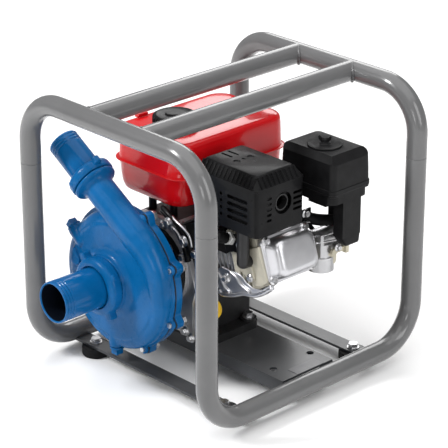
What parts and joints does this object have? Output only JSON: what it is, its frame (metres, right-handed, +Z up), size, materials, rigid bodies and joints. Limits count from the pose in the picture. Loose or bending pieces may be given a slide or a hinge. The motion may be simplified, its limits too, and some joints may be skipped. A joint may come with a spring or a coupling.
{
  "type": "engine-driven water pump",
  "caption": "Petrol-engine volute trash pump in a round tube roll frame, with hose barbs for suction and discharge, recoil starter, fuel tank, air cleaner and guarded muffler.",
  "frame": {"origin": "on the floor under the middle of the tube frame, between the four rubber feet", "axes": "+X across the frame towards the cylinder head and the air cleaner, +Y along the crankshaft from the pump's suction to the recoil starter, +Z up"},
  "size_m": [0.389, 0.477, 0.4215],
  "materials": {
    "frame": "satin grey paint on steel tube",
    "plate": "dark grey paint on folded steel sheet",
    "rubber": "black moulded rubber",
    "zinc_steel": "zinc-plated steel",
    "pump_paint": "gloss blue paint on cast iron",
    "gasket": "black gasket sheet",
    "black_paint": "black paint on cast iron",
    "cast_iron": "machined grey cast iron",
    "steel": "machined steel",
    "cast_aluminium": "sand-textured die-cast aluminium",
    "ceramic": "glazed white ceramic and plated steel",
    "lead_rubber": "black rubber-covered cable",
    "black_sheet": "black baked paint on pressed steel",
    "black_plastic": "black moulded plastic",
    "tank_paint": "gloss red paint on pressed steel",
    "cream_plastic": "cream moulded plastic",
    "yellow_plastic": "yellow moulded plastic"
  },
  "bodies": {
    "machine": {"front_arch": "frame", "rear_arch": "frame", "left_rail": "frame", "right_rail": "frame", "crossbars": "frame", "base_plate": "plate", "foot_straps": "plate", "rubber_feet": "rubber", "foot_bolts": "zinc_steel", "engine_bolts": "zinc_steel", "volute_casing": "pump_paint", "casing_gasket": "gasket", "pump_back_plate": "pump_paint", "pump_bracket": "black_paint", "casing_bolts": "zinc_steel", "bracket_bolts": "zinc_steel", "suction_hose_barb": "pump_paint", "discharge_hose_barb": "pump_paint", "crankcase": "cast_aluminium", "crankcase_cover": "cast_aluminium", "main_bearings": "steel", "rod_small_end": "cast_aluminium", "piston": "cast_aluminium", "piston_rings": "cast_iron", "wrist_pin": "steel", "cylinder": "cast_aluminium", "cylinder_head": "cast_aluminium", "valves": "steel", "rocker_arms": "steel", "valve_cover": "cast_aluminium", "spark_plug": "ceramic", "plug_lead": "lead_rubber", "cylinder_shroud": "black_sheet", "blower_housing": "black_sheet", "ignition_coil": "black_plastic", "recoil_housing": "black_sheet", "fuel_tank": "tank_paint", "carburettor": "cast_aluminium", "air_cleaner_base": "black_plastic", "muffler": "steel", "muffler_guard": "black_sheet"},
    "crank": {"crankshaft": "steel", "flywheel": "cast_aluminium", "impeller": "cast_iron", "mechanical_seal": "steel"},
    "cam": {"camshaft": "steel"},
    "rod": {"rod_big_end": "cast_aluminium"},
    "starter_handle": {"recoil_handle": "black_plastic"},
    "starter_pulley": {"recoil_pulley": "steel"},
    "suction_nut": {"suction_union_nut": "pump_paint"},
    "discharge_nut": {"discharge_union_nut": "pump_paint"},
    "priming_cap": {"priming_plug": "pump_paint"},
    "drain_cap": {"drain_plug": "pump_paint"},
    "filler_cap": {"fuel_cap": "black_plastic"},
    "oil_cap": {"oil_filler_cap": "yellow_plastic"},
    "cleaner_cover": {"air_cleaner_cover": "black_plastic"},
    "cleaner_knob": {"air_cleaner_knob": "black_plastic"},
    "choke": {"choke_lever": "black_plastic"},
    "fuel_valve": {"fuel_valve_lever": "cream_plastic"},
    "throttle": {"throttle_lever": "zinc_steel"}
  },
  "joints": [
    {"name": "crank_spin", "type": "hinge", "parent": "machine", "child": "crank", "pos_m": [-0.07, 0, 0.146], "axis": [0, 1, 0], "continuous": true},
    {"name": "cam_spin", "type": "hinge", "parent": "machine", "child": "cam", "pos_m": [-0.04465, 0, 0.09832], "axis": [0, 1, 0], "continuous": true},
    {"name": "rod_swing", "type": "hinge", "parent": "crank", "child": "rod", "pos_m": [-0.04418, 0.026, 0.15389], "axis": [0, 1, 0], "continuous": true},
    {"name": "handle_pull", "type": "slide", "parent": "machine", "child": "starter_handle", "axis": [-1, 0, 0], "range_m": [0, 0.1]},
    {"name": "pulley_turn", "type": "hinge", "parent": "machine", "child": "starter_pulley", "pos_m": [-0.07, 0.144, 0.146], "axis": [0, -1, 0], "range_deg": [0, 115]},
    {"name": "suction_nut_turn", "type": "hinge", "parent": "machine", "child": "suction_nut", "pos_m": [-0.07, -0.15, 0.146], "axis": [0, -1, 0], "range_deg": [0, 360]},
    {"name": "discharge_nut_turn", "type": "hinge", "parent": "machine", "child": "discharge_nut", "pos_m": [-0.02125, -0.122, 0.22402], "axis": [-0.848, 0, 0.5299], "range_deg": [0, 360]},
    {"name": "priming_plug_pull", "type": "slide", "parent": "machine", "child": "priming_cap", "axis": [-0.8425, 0, 0.5388], "range_m": [0, 0.02]},
    {"name": "drain_plug_pull", "type": "slide", "parent": "machine", "child": "drain_cap", "axis": [0, 0, -1], "range_m": [0, 0.01]},
    {"name": "fuel_cap_turn", "type": "hinge", "parent": "machine", "child": "filler_cap", "pos_m": [-0.088, 0.009, 0.343], "axis": [0, 0, 1], "range_deg": [0, 90]},
    {"name": "oil_cap_pull", "type": "slide", "parent": "machine", "child": "oil_cap", "axis": [0.866, 0, 0.5], "range_m": [0, 0.03]},
    {"name": "cleaner_cover_lift", "type": "slide", "parent": "machine", "child": "cleaner_cover", "axis": [0, 0, 1], "range_m": [0, 0.045]},
    {"name": "cleaner_knob_turn", "type": "hinge", "parent": "cleaner_cover", "child": "cleaner_knob", "pos_m": [0.119, 0.1, 0.343], "axis": [0, 0, 1], "range_deg": [0, 360]},
    {"name": "choke_turn", "type": "hinge", "parent": "machine", "child": "choke", "pos_m": [0.1225, 0.1215, 0.204], "axis": [1, 0, 0], "range_deg": [0, 60]},
    {"name": "fuel_valve_turn", "type": "hinge", "parent": "machine", "child": "fuel_valve", "pos_m": [0.127, 0.112, 0.18], "axis": [1, 0, 0], "range_deg": [-60, 0]},
    {"name": "throttle_turn", "type": "hinge", "parent": "machine", "child": "throttle", "pos_m": [-0.03, 0.004, 0.217], "axis": [0, 0, 1], "range_deg": [0, 25]}
  ],
  "couplings": [
    {"joint": "cam_spin", "follows": "crank_spin", "ratio": -0.5},
    {"joint": "rod_swing", "follows": "crank_spin", "ratio": -1},
    {"joint": "pulley_turn", "follows": "handle_pull", "rad_per_m": 20}
  ]
}
